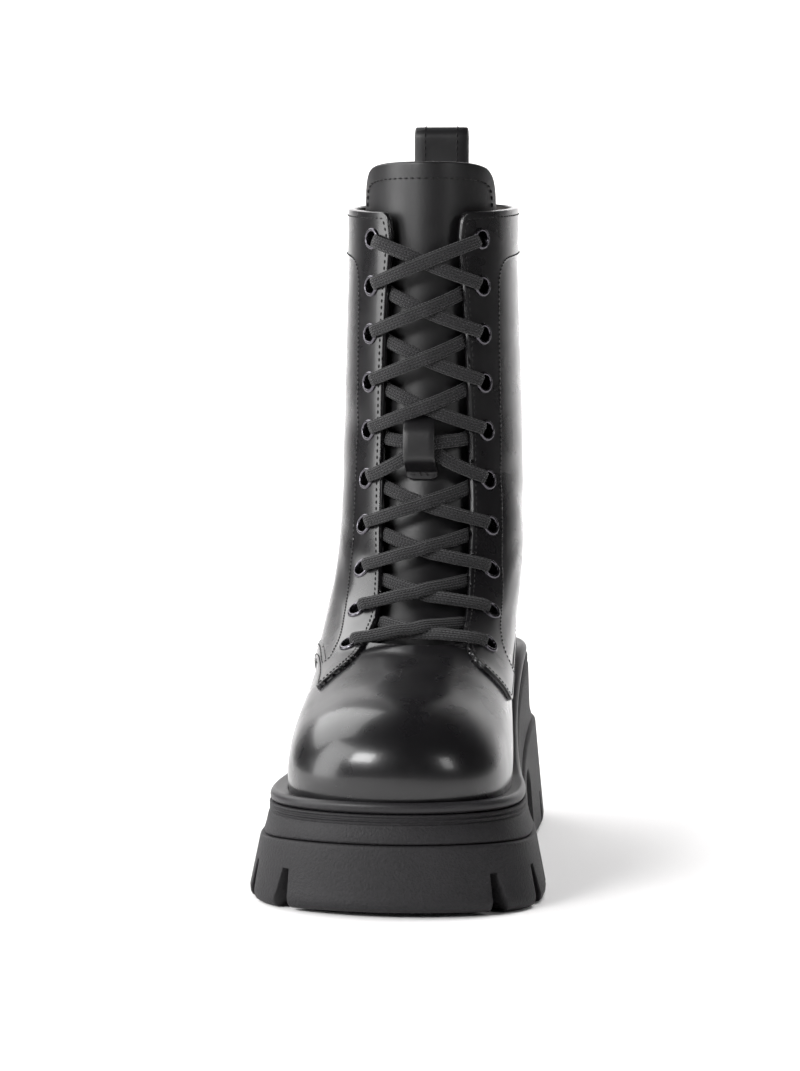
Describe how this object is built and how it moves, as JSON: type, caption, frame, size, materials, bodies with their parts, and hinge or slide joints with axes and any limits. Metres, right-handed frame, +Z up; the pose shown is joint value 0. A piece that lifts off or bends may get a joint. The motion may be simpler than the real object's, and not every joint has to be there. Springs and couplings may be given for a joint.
{
  "type": "platform boot",
  "caption": "Lace-up platform combat boot for the right foot, with a chunky lugged sole, a tongue above the collar and a heel pull loop.",
  "frame": {"origin": "on the floor, under the middle of the sole's box", "axes": "+Z up, -Y to the toe, +Y to the heel, +X to the inner side of the foot"},
  "size_m": [0.1238, 0.2959, 0.3256],
  "materials": {
    "leather": "black polished smooth leather, high gloss with a fine grain",
    "rubber": "matte moulded black rubber with a fine spark-eroded grain",
    "rand": "semi-gloss black rubber, smooth, with a moulded groove",
    "lace": "black braided flat lace",
    "gunmetal": "dark gunmetal plated eyelet",
    "lining": "dark textile lining and footbed cover"
  },
  "bodies": {
    "root": {"outsole": "rubber", "midsole": "rubber", "welt": "rand", "insole": "lining", "upper": "leather", "tongue": "leather", "lace_keeper": "leather", "heel_counter": "leather", "pull_loop": "leather", "lace_crossing_1": "lace", "lace_crossing_2": "lace", "lace_crossing_3": "lace", "lace_crossing_4": "lace", "lace_crossing_5": "lace", "lace_crossing_6": "lace", "lace_crossing_7": "lace", "lace_crossing_8": "lace", "lace_crossing_9": "lace", "eyelet_outer_1": "gunmetal", "eyelet_inner_1": "gunmetal", "eyelet_outer_2": "gunmetal", "eyelet_inner_2": "gunmetal", "eyelet_outer_3": "gunmetal", "eyelet_inner_3": "gunmetal", "eyelet_outer_4": "gunmetal", "eyelet_inner_4": "gunmetal", "eyelet_outer_5": "gunmetal", "eyelet_inner_5": "gunmetal", "eyelet_outer_6": "gunmetal", "eyelet_inner_6": "gunmetal", "eyelet_outer_7": "gunmetal", "eyelet_inner_7": "gunmetal", "eyelet_outer_8": "gunmetal", "eyelet_inner_8": "gunmetal", "eyelet_outer_9": "gunmetal", "eyelet_inner_9": "gunmetal", "eyelet_outer_10": "gunmetal", "eyelet_inner_10": "gunmetal"}
  },
  "joints": []
}
